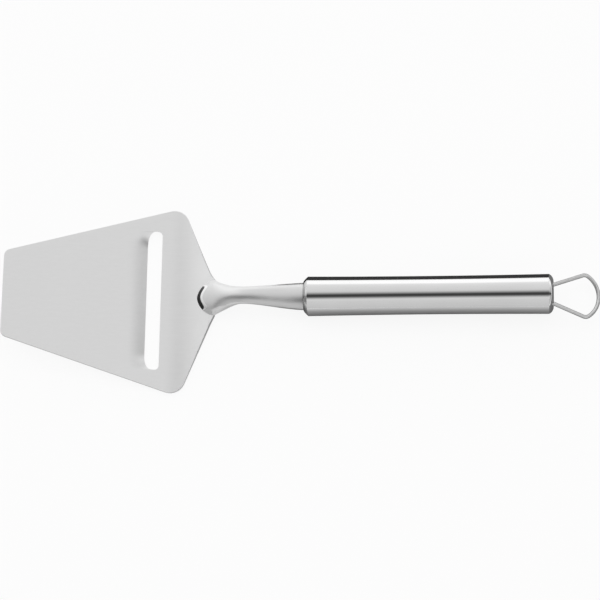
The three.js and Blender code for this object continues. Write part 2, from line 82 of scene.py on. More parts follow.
def piece_from(bm, name, place, body, node, materials, crease=math.radians(40)):
    """Puts a finished mesh on its body in place of its CAD node."""
    bm.transform(place)
    mesh = bpy.data.meshes.new(name)
    bm.to_mesh(mesh)
    bm.free()
    for face in mesh.polygons:
        face.use_smooth = True
    mesh.set_sharp_from_angle(angle=crease)
    for material in materials:
        mesh.materials.append(material)
    piece = bpy.data.objects.new(name, mesh)
    bpy.context.scene.collection.objects.link(piece)
    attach(piece, body)
    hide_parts(node)
    return piece


def add_node(tree, kind, inputs=(), **settings):
    """Adds a shader node; an input is given as a value or as the socket that feeds it."""
    made = tree.nodes.new("ShaderNode" + kind)
    for key, value in settings.items():
        setattr(made, key, value)
    for key, value in dict(inputs).items():
        if isinstance(value, bpy.types.NodeSocket):
            tree.links.new(value, made.inputs[key])
        else:
            made.inputs[key].default_value = value
    return made


def bare_steel(name, shade, gloss, grain, relief, mottle=0.05):
    """Bare steel: grain is how fine the grinding lines are along X, Y and Z, relief their depth."""
    material = bpy.data.materials.new(name)
    material.use_nodes = True
    tree = material.node_tree
    shader = tree.nodes["Principled BSDF"]
    shader.inputs["Metallic"].default_value = 1.0
    place = add_node(tree, "TexCoord").outputs["Object"]
    along = add_node(tree, "Mapping", {"Vector": place, "Scale": grain})
    lines = add_node(tree, "TexNoise", {"Vector": along.outputs["Vector"], "Scale": 1.0, "Detail": 4.0,
                                        "Roughness": 0.65})
    patches = add_node(tree, "TexNoise", {"Vector": place, "Scale": 60.0, "Detail": 3.0})
    both = add_node(tree, "Mix", {"Factor": 0.5, "A": lines.outputs["Fac"], "B": patches.outputs["Fac"]})
    finish = both.outputs["Result"]
    tone = add_node(tree, "MapRange", {"Value": finish, "From Min": 0.3, "From Max": 0.7,
                                       "To Min": shade * (1.0 - mottle),
                                       "To Max": shade * (1.0 + mottle)}, name="tone")
    rough = add_node(tree, "MapRange", {"Value": finish, "From Min": 0.3, "From Max": 0.7,
                                        "To Min": gloss * 0.8, "To Max": gloss * 1.2})
    bump = add_node(tree, "Bump", {"Height": lines.outputs["Fac"], "Strength": 0.5, "Distance": relief})
    tree.links.new(tone.outputs["Result"], shader.inputs["Base Color"])
    tree.links.new(rough.outputs["Result"], shader.inputs["Roughness"])
    tree.links.new(bump.outputs["Normal"], shader.inputs["Normal"])
    return material


bm = bmesh.new()
depth = bm.verts.layers.float.new("depth")
below = bm.verts.layers.float_vector.new("below")
# The pressed lip comes first, as a grid from the bend line to the cutting edge.
bmesh.ops.create_grid(bm, x_segments=LIP_ROWS, y_segments=LIP_COLUMNS, size=1.0)
slot_back = SLOT_REACH + SLOT_ROUND
bend_row, side_rows, lip_corners = set(), set(), {}
for vert in bm.verts:
    share = (vert.co.x + 1.0) / 2.0
    end = vert.co.y
    y = SLOT_HALF * math.sin(end * math.pi / 2.0)
    inward = min(1.0, (SLOT_HALF - abs(y)) / LIP_SWEEP)
    rounded = (1.0 - (1.0 - inward) ** LIP_ROUND) ** (1.0 / LIP_ROUND)
    edge = -slot_back + (slot_back - LIP_REACH) * rounded
    drop = LIP_DEPTH * math.sin(inward * math.pi / 2.0)
    soft = share * share / (2.0 * LIP_BEND) if share < LIP_BEND else share - LIP_BEND / 2.0
    if share < 1.0 - ON_EDGE:
        bend_row.add(vert)
    if abs(end) > ON_EDGE:
        side_rows.add(vert)
        if share > ON_EDGE:
            lip_corners[round(end)] = vert
    reach = edge + BEND_LINE
    vert.co = (-BEND_LINE + share * reach, y, -drop * soft / (1.0 - LIP_BEND / 2.0))
    ground = min(1.0, (1.0 - share) * reach / CUTTING_BEVEL)
    vert[depth] = CUTTING_EDGE + (SHEET - CUTTING_EDGE) * ground
window = [edge for edge in bm.edges
          if all(v in bend_row for v in edge.verts) or all(v in side_rows for v in edge.verts)]
# Rear side of the slot: a rounded corner at each end and a straight run between them.
run_ends = []
for side, corner in lip_corners.items():
    centre = Vector((corner.co.x, corner.co.y - side * SLOT_ROUND, 0.0))
    before = set(bm.edges)
    arc = bmesh.ops.spin(bm, geom=[corner], cent=centre, axis=(0, 0, 1), use_duplicate=False,
                         angle=-side * math.pi / 2.0, steps=SLOT_ROUND_STEPS)
    window += [edge for edge in bm.edges if edge not in before]
    run_ends += [v for v in arc["geom_last"] if isinstance(v, bmesh.types.BMVert)]
window.append(bm.edges.new(run_ends))
# Outline, from its eight corners. The neck's near corner is cut back under the stem's foot, which
# sits a little to the far side.
neck_bend = Vector((NECK_END - NECK_SIDE * math.cos(NECK_SIDE_ANGLE),
                    NECK_HALF + NECK_SIDE * math.sin(NECK_SIDE_ANGLE), 0.0))
spread, lean = math.tan(SIDE_ANGLE), math.tan(SHOULDER_ANGLE)
wide_x = neck_bend.x - lean * (TIP_HALF + spread * TIP_REACH - neck_bend.y)
wide_x /= 1.0 + lean * spread
half = [(Vector((-TIP_REACH, TIP_HALF, 0.0)), TIP_ROUND),
        (Vector((wide_x, TIP_HALF + spread * (wide_x + TIP_REACH), 0.0)), WIDE_ROUND),
        (neck_bend, NECK_ROUND),
        (Vector((NECK_END, NECK_HALF, 0.0)), 0.0)]
corners = half + [(Vector((co.x, -co.y, 0.0)), radius) for co, radius in reversed(half)]
corners[len(half)][0].y = -NECK_NEAR_HALF
rim = [bm.verts.new(co) for co, radius in corners]
bm.faces.new(rim)
for index, (co, radius) in enumerate(corners):
    if radius:
        opening = (corners[index - 1][0] - co).angle(corners[(index + 1) % len(corners)][0] - co)
        bmesh.ops.bevel(bm, geom=[rim[index]], offset=radius / math.tan(opening / 2.0), affect="VERTICES",
                        offset_type="OFFSET", segments=ROUND_STEPS, profile=0.5, material=-1)
blank = max(bm.faces, key=lambda face: face.calc_area())
outline = list(blank.edges)
bmesh.ops.delete(bm, geom=[blank], context="FACES_ONLY")
bmesh.ops.triangle_fill(bm, edges=window + outline, use_beauty=True, normal=(0, 0, 1))
# The neck is swept up, so that part is cut across and bent.
for cut in range(SWEEP_CUTS):
    at = -SWEEP_REACH + (NECK_END + SWEEP_REACH) * cut / SWEEP_CUTS
    bmesh.ops.bisect_plane(bm, geom=bm.verts[:] + bm.edges[:] + bm.faces[:], dist=CUT_SNAP,
                           plane_co=(at, 0, 0), plane_no=(1, 0, 0))
for vert in bm.verts:
    if vert.co.x > -SWEEP_REACH:
        vert.co = over_sheet(vert.co.x, vert.co.y, 0.0)
for face in bm.faces:
    face.normal_update()
    if face.normal.z < 0.0:
        face.normal_flip()
bm.normal_update()
# The upper face is drawn down into a sheet. The sheared wall all round it gets a finish of its own,
# and its edges are broken.
for vert in bm.verts:
    vert[below] = -vert.normal * (vert[depth] or SHEET)
upper = set(bm.verts)
under = bmesh.ops.extrude_face_region(bm, geom=bm.faces[:])
for item in under["geom"]:
    if isinstance(item, bmesh.types.BMVert):
        item.co += item[below]
bmesh.ops.recalc_face_normals(bm, faces=bm.faces[:])
for face in bm.faces:
    if 0 < sum(v in upper for v in face.verts) < len(face.verts):
        face.material_index = SHEARED
rims = [edge for edge in bm.edges if len({face.material_index for face in edge.link_faces}) == 2
        and all((v[depth] or SHEET) > FULL_DEPTH for v in edge.verts)]
bmesh.ops.bevel(bm, geom=rims, offset=SHEET_BREAK, offset_type="OFFSET", affect="EDGES", segments=2,
                profile=0.5, material=-1, clamp_overlap=True)
bm.verts.layers.float.remove(bm.verts.layers.float["depth"])
bm.verts.layers.float_vector.remove(bm.verts.layers.float_vector["below"])
satin_blade = bare_steel("satin_blade", shade=0.92, gloss=0.4, grain=(60.0, 900.0, 900.0),
                         relief=0.00002, mottle=0.03)
sheared_edge = bare_steel("sheared_edge", shade=0.5, gloss=0.45, grain=(300.0, 300.0, 2500.0),
                          relief=0.00004, mottle=0.15)
blade = piece_from(bm, "blade_sheet", blade_place, "tool", "blade",
                   [satin_blade, sheared_edge])
level = blade.modifiers.new("level faces", "WEIGHTED_NORMAL")
level.keep_sharp = True

# Stem: one steel forging, satin blasted, a flat oval along its length. Its flat-topped foot has a low
# rounded rim and a bevelled nose, and is welded onto the blade's neck a little to the far side. The
# nose's bevel carries painted shade as a dark crescent, with a painted highlight beside it. From there
# the stem bows up over a waist and widens to the handle.
HANDLE_ANGLE, AXIS_OFFSET = math.radians(14.5), 9.5
HANDLE_FRONT = 46.9
NOSE_REACH, NOSE_BEVEL, NOSE_HEIGHT, NOSE_FADE, NOSE_ASIDE = 3.9, 1.6, 1.5, 3.4, 1.2
FOOT_HALF, FOOT_FULLNESS, FOOT_FLANK = 8.5, 0.45, 0.45
RIM_GROWTH, RIM_FROM, RIM_RUN, RIM_SOFTNESS, RIM_FADE = 1.0, 4.0, 3.0, 0.2, 6.0
STEM_BOW, WAIST_AT = 3.5, 19.6
WAIST_HALF, WAIST_RISE = 4.0, 2.35
SHOULDER_HALF, SHOULDER_RISE = 6.35, 3.45
SHANK_LEAVE, SHANK_ARRIVE = (0.22, 0.0), (0.68, 0.84)
TANG_RADIUS, TANG_LENGTH = 2.75, 38.0
WELD_SINK, SEAM_ROOM = 0.12, 0.03
# Painted shade on the nose's bevel as a dark crescent, and the painted highlight beside it: half length,
# width, squareness of the ends, fade and shift.
SHADE_LINE_HALF, SHADE_LINE_WIDTH, SHADE_LINE_SQUARENESS, SHADE_LINE_FADE, SHADE_LINE_SHIFT = 5.6, 1.7, 8, 2.6, 0.43
NOSE_START, FOOT_STEPS, NECK_STEPS, HALVINGS = 0.004, 120, 60, 40
RING_SIDES, NOSE_RINGS, NECK_RINGS, SHANK_RINGS = 120, 40, 34, 22
axis_turn = Matrix.Rotation(-HANDLE_ANGLE, 4, "Y") @ Matrix.Translation((0, 0, AXIS_OFFSET))
handle_place = blade_place @ axis_turn
to_axis = axis_turn.inverted()


def smooth_step(share):
    share = min(max(share, 0.0), 1.0)
    return share * share * (3.0 - 2.0 * share)


def on_axis(x, above):
    """Point over the middle of the sheet, seen from the handle axis."""
    return to_axis @ over_sheet(x, 0.0, above)


def facing(along):
    """Height of the sheet's upper face, seen from the handle axis."""
    low, high = -TIP_REACH, HANDLE_FRONT
    for step in range(HALVINGS):
        middle = (low + high) / 2.0
        if on_axis(middle, 0.0).x < along:
            low = middle
        else:
            high = middle
    return on_axis(low, 0.0).z


def curve(start, end, leave, arrive):
    """Cubic curve as four points: its handles are given as shares of its run and its rise."""
    run, rise = end[0] - start[0], end[1] - start[1]
    handles = [(start[0] + run * share[0], start[1] + rise * share[1]) for share in (leave, arrive)]
    return start, *handles, end


def height_on(points, along):
    """Height of a cubic curve of four points at a place along it."""
    low, high = 0.0, 1.0
    for step in range(HALVINGS):
        t = (low + high) / 2.0
        weights = ((1 - t) ** 3, 3 * t * (1 - t) ** 2, 3 * t * t * (1 - t), t ** 3)
        if sum(w * p[0] for w, p in zip(weights, points)) < along:
            low = t
        else:
            high = t
    return sum(w * p[1] for w, p in zip(weights, points))


nose, neck = on_axis(-NOSE_REACH, 0.0), on_axis(0.0, NOSE_HEIGHT)
brow = on_axis(NOSE_BEVEL - NOSE_REACH, NOSE_HEIGHT)
flare, heel = on_axis(NECK_END, 0.0), on_axis(NECK_END, -SHEET)
nose_run, neck_run, shank_run = flare.x - nose.x, WAIST_AT - flare.x, HANDLE_FRONT - WAIST_AT
waist_top, waist_bottom = STEM_BOW + WAIST_RISE, STEM_BOW - WAIST_RISE
nose_width = curve((nose.x, 0.0), (flare.x, FOOT_HALF), leave=(0.0, 0.45), arrive=(0.5, 0.97))
neck_width = curve((flare.x, FOOT_HALF), (WAIST_AT, WAIST_HALF), leave=(0.2, 0.38), arrive=(0.6, 1.0))
shank_width = curve((WAIST_AT, WAIST_HALF), (HANDLE_FRONT, SHOULDER_HALF), SHANK_LEAVE, SHANK_ARRIVE)
shank_rise = curve((WAIST_AT, WAIST_RISE), (HANDLE_FRONT, SHOULDER_RISE), SHANK_LEAVE, SHANK_ARRIVE)
belly = curve((heel.x, heel.z), (WAIST_AT, waist_bottom), leave=(0.25, 0.25), arrive=(0.6, 1.0))
crown_run = 0.6 * neck_run
crown = ((brow.x, brow.z), (neck.x, neck.z), (WAIST_AT - crown_run, waist_top), (WAIST_AT, waist_top))
foot_places = [nose.x + nose_run * step / FOOT_STEPS for step in range(FOOT_STEPS + 1)]
neck_places = [flare.x + neck_run * step / NECK_STEPS for step in range(1, NECK_STEPS + 1)]
outline_of_foot = [(x, height_on(nose_width, x)) for x in foot_places]
outline_of_foot += [(x, height_on(neck_width, x)) for x in neck_places]


def stem_point(along, angle):
    """Point of the stem's surface at an angle about its middle, and its share of the painted shade and
    highlight on the nose.
    """
    across, up = math.cos(angle), math.sin(angle)
    if along >= WAIST_AT:
        base = STEM_BOW * (1.0 - smooth_step((along - WAIST_AT) / shank_run))
        return Vector((along, height_on(shank_width, along) * across,
                       base + height_on(shank_rise, along) * up)), 0.0
    on_sheet = facing(min(along, flare.x))
    top = height_on(crown, along) if along > brow.x else facing(along) + NOSE_HEIGHT
    bottom = height_on(belly, along) if along > heel.x else facing(along) - SHEET + SEAM_ROOM
    lift = smooth_step((along - flare.x) / neck_run)
    rim = on_sheet - WELD_SINK
    base = rim + ((top + bottom) / 2.0 - rim) * lift
    y = height_on(nose_width if along < flare.x else neck_width, along) * across
    aside = NOSE_ASIDE * (WAIST_AT - along) / (WAIST_AT - nose.x)
    if up <= 0.0:
        flank = FOOT_FLANK + (1.0 - FOOT_FLANK) * lift
        return Vector((along, y + aside, base - (base - bottom) * (-up) ** flank)), 0.0
    blend = smooth_step((along - nose.x) / NOSE_FADE) * (1.0 - lift)
    swell = up ** (1.0 - FOOT_FULLNESS * blend)
    inside = min(math.hypot(along - x, abs(y) - width) for x, width in outline_of_foot)
    share = inside / (NOSE_BEVEL + RIM_GROWTH * smooth_step((abs(y) - RIM_FROM) / RIM_RUN))
    soft = max(0.0, share - (1.0 - RIM_SOFTNESS))
    rim_top = share - soft * soft / (4.0 * RIM_SOFTNESS) if share < 1.0 + RIM_SOFTNESS else 1.0
    swell += (min(swell, rim_top) - swell) * (1.0 - smooth_step((along - flare.x) / RIM_FADE))
    # Painted shade: a dark crescent along the nose's bevel, fading into a painted highlight beyond it.
    dark = SHADE_LINE_WIDTH * (1.0 - (y / SHADE_LINE_HALF) ** SHADE_LINE_SQUARENESS)
    painted_light_share = 1.0 - smooth_step((inside - dark) / SHADE_LINE_FADE + SHADE_LINE_SHIFT) if along < flare.x else 0.0
    return Vector((along, y + aside, base + (top - base) * swell)), painted_light_share


bm = bmesh.new()
turn_of = bm.verts.layers.float.new("turn")
# Share of painted shade and painted highlight on the nose, read by the stem's material.
painted_light_of = bm.verts.layers.float.new("painted_light_share")
first, drawn = nose.x + NOSE_START, nose_run - NOSE_START
places = [first + drawn * (step / NOSE_RINGS) ** 2 for step in range(NOSE_RINGS)]
places += [flare.x + neck_run * step / NECK_RINGS for step in range(NECK_RINGS)]
places += [WAIST_AT + (shank_run - SEAM_ROOM) * step / SHANK_RINGS for step in range(SHANK_RINGS + 1)]
ring = bmesh.ops.create_circle(bm, cap_ends=True, segments=RING_SIDES, radius=1.0)["verts"]
for vert in ring:
    vert[turn_of] = math.atan2(vert.co.y, vert.co.x)
    vert.co, vert[painted_light_of] = stem_point(places[0], vert[turn_of])


def next_ring(verts):
    """Draws the last ring out into a new one."""
    last = set(verts)
    edges = [edge for edge in bm.edges if all(v in last for v in edge.verts)]
    grown = bmesh.ops.extrude_edge_only(bm, edges=edges)["geom"]
    return [item for item in grown if isinstance(item, bmesh.types.BMVert)]


for along in places[1:]:
    ring = next_ring(ring)
    for vert in ring:
        vert.co, vert[painted_light_of] = stem_point(along, vert[turn_of])
# The tang goes on into the handle.
for along in (places[-1], HANDLE_FRONT + TANG_LENGTH):
    ring = next_ring(ring)
    for vert in ring:
        vert.co = (along, TANG_RADIUS * math.cos(vert[turn_of]), TANG_RADIUS * math.sin(vert[turn_of]))
last = set(ring)
bmesh.ops.contextual_create(bm, geom=[edge for edge in bm.edges if all(v in last for v in edge.verts)])
bmesh.ops.recalc_face_normals(bm, faces=bm.faces[:])
bm.verts.layers.float.remove(bm.verts.layers.float["turn"])


def set_stops(ramp, stops):
    """Gives a colour ramp its grey stops, as pairs of place and brightness."""
    while len(ramp.elements) < len(stops):
        ramp.elements.new(0.5)
    for element, (place, grey) in zip(ramp.elements, stops):
        element.position = place
        element.color = (grey, grey, grey, 1.0)


def darken(steel, factor):
    """Multiplies the tone of a bare steel."""
    tree = steel.node_tree
    darker = add_node(tree, "Math", {0: tree.nodes["tone"].outputs["Result"], 1: factor},
                      operation="MULTIPLY", use_clamp=True)
    tree.links.new(darker.outputs["Value"], tree.nodes["Principled BSDF"].inputs["Base Color"])


# Brightness by the share of painted light on the nose: blasted steel, painted highlight, painted shade.
PAINTED_NOSE_LIGHT = ((0.0, 0.8), (0.01, 0.8), (0.05, 1.0), (0.44, 1.0), (0.58, 0.05), (1.0, 0.02))
satin_stem = bare_steel("satin_stem", shade=1.0, gloss=0.36, grain=(2600.0, 2600.0, 2600.0),
                        relief=0.00001, mottle=0.04)
tree = satin_stem.node_tree
# The stem's tone takes painted shade in a crescent on the nose's bevel and a painted highlight beside it.
painted_light_share = add_node(tree, "Attribute", attribute_name="painted_light_share").outputs["Fac"]
painted_nose_light = add_node(tree, "ValToRGB", {"Fac": painted_light_share})
set_stops(painted_nose_light.color_ramp, PAINTED_NOSE_LIGHT)
darken(satin_stem, painted_nose_light.outputs["Color"])
piece_from(bm, "stem_forging", handle_place, "tool", "stem", [satin_stem])

# Front ferrule: turned steel ring with a conical face that swells slightly. It closes the front of the
# handle round the stem, its spigot is pressed into the tube, and its face has painted shade, darker
# towards the joint.
FERRULE_CONE, FERRULE_FACE_RADIUS, FERRULE_SWELL, SPIGOT = 2.0, 6.6, 0.3, 7.0
TUBE_FRONT, TUBE_LENGTH = HANDLE_FRONT + FERRULE_CONE, 108.7
TUBE_END_RADIUS, TUBE_WAIST_RADIUS, TUBE_WALL, EDGE_BREAK = 8.98, 8.67, 0.8, 0.05
# Width and darkness of the painted shade on the ferrule's face towards the joint.
JOINT_WIDTH, JOINT_SHADE = 2.6, 0.4
TURNED_STEPS, END_STEPS, SAME_SPOT = 128, 12, 1e-4
TURNED_CREASE = math.radians(35)


def tube_radius(share):
    return TUBE_END_RADIUS - (TUBE_END_RADIUS - TUBE_WAIST_RADIUS) * 4.0 * share * (1.0 - share)


def turned(profile):
    """Solid of revolution about the handle axis from pairs of place and radius."""
    lathe = bmesh.new()
    points = [lathe.verts.new((x, 0.0, radius)) for x, radius in profile]
    rounds = [lathe.edges.new(pair) for pair in zip(points, points[1:])]
    rounds.append(lathe.edges.new((points[-1], points[0])))
    bmesh.ops.spin(lathe, geom=points + rounds, cent=(0, 0, 0), axis=(1, 0, 0), angle=2.0 * math.pi,
                   steps=TURNED_STEPS, use_merge=True, use_duplicate=False)
    bmesh.ops.remove_doubles(lathe, verts=lathe.verts[:], dist=SAME_SPOT)
    bmesh.ops.recalc_face_normals(lathe, faces=lathe.faces[:])
    return lathe


def swelling_end(run, face_radius, swell):
    """Conical end from the tube to its face, as pairs of distance from the tube and radius."""
    rim = TUBE_END_RADIUS - EDGE_BREAK
    profile = []
    for step in range(END_STEPS + 1):
        angle = step / END_STEPS * math.pi / 2.0
        fall = math.sin(angle) + (1.0 - math.cos(angle) - math.sin(angle)) * swell
        profile.append((run * math.sin(angle), rim + (face_radius - rim) * fall))
    return profile


spigot_radius = tube_radius(SPIGOT / TUBE_LENGTH) - TUBE_WALL - SEAM_ROOM
bore = TANG_RADIUS + SEAM_ROOM
cone = swelling_end(FERRULE_CONE, FERRULE_FACE_RADIUS, FERRULE_SWELL)
profile = [(HANDLE_FRONT, bore)]
profile += [(TUBE_FRONT - off, radius) for off, radius in reversed(cone)]
profile += [(TUBE_FRONT, spigot_radius)]
profile += [(TUBE_FRONT + SPIGOT, spigot_radius), (TUBE_FRONT + SPIGOT, bore)]
bm = turned(profile)
# Share of painted shade on the ferrule's face, fading from the joint with the stem.
painted_joint_shade_of = bm.verts.layers.float.new("painted_joint_shade")
for vert in bm.verts:
    vert[painted_joint_shade_of] = 1.0 - smooth_step((vert.co.x - HANDLE_FRONT) / JOINT_WIDTH)
polished_ferrule = bare_steel("polished_ferrule", shade=0.86, gloss=0.09, grain=(500.0, 40.0, 40.0),
                              relief=0.000004, mottle=0.03)
tree = polished_ferrule.node_tree
# Painted shade: the polished tone is darkened towards the joint.
painted_joint_shade = add_node(tree, "Attribute", attribute_name="painted_joint_shade").outputs["Fac"]
joint_darkening = add_node(tree, "MapRange", {"Value": painted_joint_shade, "To Min": 1.0, "To Max": JOINT_SHADE})
darken(polished_ferrule, joint_darkening.outputs["Result"])
piece_from(bm, "ferrule_turning", handle_place, "tool", "front_ferrule",
           [polished_ferrule], TURNED_CREASE)

# Handle: a length of stainless tube, drawn in slightly towards its middle and polished bright.
# Its two ends have a broken edge where the ferrule and the cap meet it.
TUBE_STEPS = 48
outer = [(TUBE_FRONT + SEAM_ROOM, TUBE_END_RADIUS - EDGE_BREAK)]
inner = []
for step in range(TUBE_STEPS + 1):
    at = EDGE_BREAK + SEAM_ROOM + (TUBE_LENGTH - 2.0 * (EDGE_BREAK + SEAM_ROOM)) * step / TUBE_STEPS
    outer.append((TUBE_FRONT + at, tube_radius(at / TUBE_LENGTH)))
    inner.append((TUBE_FRONT + at, tube_radius(at / TUBE_LENGTH) - TUBE_WALL))
outer.append((TUBE_FRONT + TUBE_LENGTH - SEAM_ROOM, TUBE_END_RADIUS - EDGE_BREAK))
bm = turned(outer + inner[::-1])
polished_handle = bare_steel("polished_handle", shade=0.86, gloss=0.065, grain=(30.0, 500.0, 500.0),
                             relief=0.000002, mottle=0.03)
piece_from(bm, "handle_tubing", handle_place, "tool", "handle_tube", [polished_handle])

# Tang bush: a plain turned ring inside the tube that centres the far end of the tang.
# It can't be seen from outside, so the CAD solid stays and gets a machined finish.
bush_finish = bare_steel("turned_bush", shade=0.55, gloss=0.45, grain=(900.0, 60.0, 60.0), relief=0.00002)
bush = frame["nodes"]["tang_bush"]
bush.data.materials.clear()
bush.data.materials.append(bush_finish)

# Rear cap: a drawn steel cup pressed into the tube, with a swelling cone and a flat end wall. Two
# long holes in the wall let the legs of the hanging loop through and let them swing.
TUBE_REAR = TUBE_FRONT + TUBE_LENGTH
CAP_CONE, CAP_FACE_RADIUS, CAP_SWELL, CAP_WALL, CAP_SPIGOT = 2.0, 5.8, 0.75, 0.8, 7.0
END_FACE = TUBE_REAR + CAP_CONE
WIRE_RADIUS, LEG_SPREAD, LEG_ANGLE, LOOP_SWING = 0.875, 4.35, math.radians(20.5), math.radians(16)
HOLE_ROOM, HOLE_ROUND, HOLE_ROUND_STEPS = 0.3, 0.98, 8
PIVOT_DEPTH = CAP_WALL + WIRE_RADIUS + HOLE_ROOM
inner_radius = spigot_radius - CAP_WALL
cone = swelling_end(CAP_CONE, CAP_FACE_RADIUS, CAP_SWELL)
profile = [(TUBE_REAR - CAP_SPIGOT, inner_radius), (TUBE_REAR - CAP_SPIGOT, spigot_radius)]
profile += [(TUBE_REAR, spigot_radius)] + [(TUBE_REAR + off, radius) for off, radius in cone]
profile += [(END_FACE, 0.0), (END_FACE - CAP_WALL, 0.0)]
profile += [(END_FACE - CAP_WALL, CAP_FACE_RADIUS - CAP_WALL / 2.0), (TUBE_REAR, inner_radius)]
bm = turned(profile)
polished_cap = bare_steel("polished_cap", shade=0.86, gloss=0.09, grain=(500.0, 40.0, 40.0),
                          relief=0.000004, mottle=0.03)
cap = piece_from(bm, "cap_drawing", handle_place, "tool", "rear_cap",
                 [polished_cap], TURNED_CREASE)
slant = CAP_WALL * math.tan(LEG_ANGLE) / 2.0
hole_rise = PIVOT_DEPTH * math.tan(LOOP_SWING) + WIRE_RADIUS / math.cos(LOOP_SWING) + HOLE_ROOM
hole_side = WIRE_RADIUS / math.cos(LEG_ANGLE) + slant + HOLE_ROOM
bm = bmesh.new()
for side in (-1, 1):
    middle = Vector((END_FACE, side * (LEG_SPREAD - slant), 0.0))
    tool = bmesh.ops.create_cube(bm, size=1.0)["verts"]
    bmesh.ops.scale(bm, vec=(4.0 * CAP_WALL, 2.0 * hole_side, 2.0 * hole_rise), verts=tool)
    bmesh.ops.translate(bm, vec=middle, verts=tool)
    uprights = [edge for edge in bm.edges if all(v in tool for v in edge.verts)
                and abs(edge.verts[0].co.x - edge.verts[1].co.x) > CAP_WALL]
    bmesh.ops.bevel(bm, geom=uprights, offset=hole_side * HOLE_ROUND, offset_type="OFFSET",
                    affect="EDGES", segments=HOLE_ROUND_STEPS, profile=0.5, material=-1)
bmesh.ops.recalc_face_normals(bm, faces=bm.faces[:])
bm.transform(handle_place)
punch_mesh = bpy.data.meshes.new("hole_punch")
bm.to_mesh(punch_mesh)
bm.free()
punch = bpy.data.objects.new("hole_punch", punch_mesh)
bpy.context.scene.collection.objects.link(punch)
cut = cap.modifiers.new("leg holes", "BOOLEAN")
cut.object = punch
cut.operation = "DIFFERENCE"
cut.solver = "EXACT"
pierced = bpy.data.meshes.new_from_object(cap.evaluated_get(bpy.context.evaluated_depsgraph_get()))
cap.modifiers.remove(cut)
cap.data = pierced
bpy.data.objects.remove(punch)

# Hanging loop: one piece of bright drawn wire. Two legs spread from the holes in the cap to the
# corners of a rounded triangle, and the ends turn in behind the wall, so the loop can swing.
LOOP_REACH, LOOP_ARC, LOOP_CORNER, HOOK_BEND, HOOK_GAP = 21.1, 11.2, 2.7, 1.3, 0.9
WIRE_SIDES, HOOK_STEPS, CORNER_STEPS, ARC_STEPS = 24, 8, 14, 48
leg = Vector((math.cos(LEG_ANGLE), math.sin(LEG_ANGLE)))
leg_start = LEG_SPREAD - PIVOT_DEPTH * math.tan(LEG_ANGLE)
arc_centre = PIVOT_DEPTH + LOOP_REACH - LOOP_ARC
inside = Vector((LOOP_CORNER * leg.y - arc_centre, leg_start - LOOP_CORNER * leg.x))
along_leg = inside.dot(leg)
corner_reach = along_leg ** 2 - inside.length_squared + (LOOP_ARC - LOOP_CORNER) ** 2
corner_run = -along_leg + math.sqrt(corner_reach)
corner = Vector((inside.x + arc_centre, inside.y)) + corner_run * leg
arc_angle = math.atan2(corner.y, corner.x - arc_centre)
leg_normal = LEG_ANGLE + math.pi / 2.0
bend_y = leg_start - HOOK_BEND * (1.0 - leg.y) / leg.x
bm = bmesh.new()
tip = bmesh.ops.create_circle(bm, cap_ends=True, segments=WIRE_SIDES, radius=WIRE_RADIUS)["verts"]
bmesh.ops.rotate(bm, verts=tip, cent=(0, 0, 0), matrix=Matrix.Rotation(math.pi / 2.0, 3, "X"))
bmesh.ops.translate(bm, verts=tip, vec=(0.0, HOOK_GAP, 0.0))
front = bm.edges[:]


def wire_ahead(edges, x, y):
    """Draws the wire straight on by x and y."""
    grown = bmesh.ops.extrude_edge_only(bm, edges=edges)["geom"]
    verts = [g for g in grown if isinstance(g, bmesh.types.BMVert)]
    bmesh.ops.translate(bm, verts=verts, vec=(x, y, 0.0))
    return [g for g in grown if isinstance(g, bmesh.types.BMEdge) and all(v in grown for v in g.verts)]


def wire_round(edges, x, y, angle, steps):
    """Bends the wire round a centre."""
    grown = bmesh.ops.spin(bm, geom=edges, cent=(x, y, 0.0), axis=(0, 0, 1), angle=angle, steps=steps,
                           use_duplicate=False)["geom_last"]
    return [g for g in grown if isinstance(g, bmesh.types.BMEdge)]


out_of_leg = Vector((math.cos(leg_normal), math.sin(leg_normal)))
bend_end = Vector((HOOK_BEND, bend_y)) + HOOK_BEND * out_of_leg
leg_end = corner + LOOP_CORNER * out_of_leg
front = wire_ahead(front, 0.0, bend_y - HOOK_GAP)
front = wire_round(front, HOOK_BEND, bend_y, leg_normal - math.pi, HOOK_STEPS)
front = wire_ahead(front, *(leg_end - bend_end))
front = wire_round(front, corner.x, corner.y, arc_angle - leg_normal, CORNER_STEPS)
front = wire_round(front, arc_centre, 0.0, -2.0 * arc_angle, ARC_STEPS)
front = wire_round(front, corner.x, -corner.y, arc_angle - leg_normal, CORNER_STEPS)
front = wire_ahead(front, bend_end.x - leg_end.x, leg_end.y - bend_end.y)
front = wire_round(front, HOOK_BEND, -bend_y, leg_normal - math.pi, HOOK_STEPS)
front = wire_ahead(front, 0.0, bend_y - HOOK_GAP)
bmesh.ops.contextual_create(bm, geom=front)
bmesh.ops.remove_doubles(bm, verts=bm.verts[:], dist=SAME_SPOT)
bmesh.ops.recalc_face_normals(bm, faces=bm.faces[:])
pivot_place = handle_place @ Matrix.Translation((END_FACE - PIVOT_DEPTH, 0, 0))
loop_place = pivot_place @ Matrix.Rotation(LOOP_SWING, 4, "Y")
drawn_wire = bare_steel("drawn_wire", shade=0.75, gloss=0.4, grain=(120.0, 700.0, 700.0), relief=0.000006)
piece_from(bm, "wire_loop", loop_place, "loop", "hanging_loop", [drawn_wire])

# Table top: plain white, matt, and large enough to fill the view. It stays white to the camera
# and in the steel, with a part of the tool's shadow left on it. Sizes are in metres from here.
FLOOR_HALF, FLOOR_DROP, FLOOR_WHITE = 3.0, 0.0003, 0.88


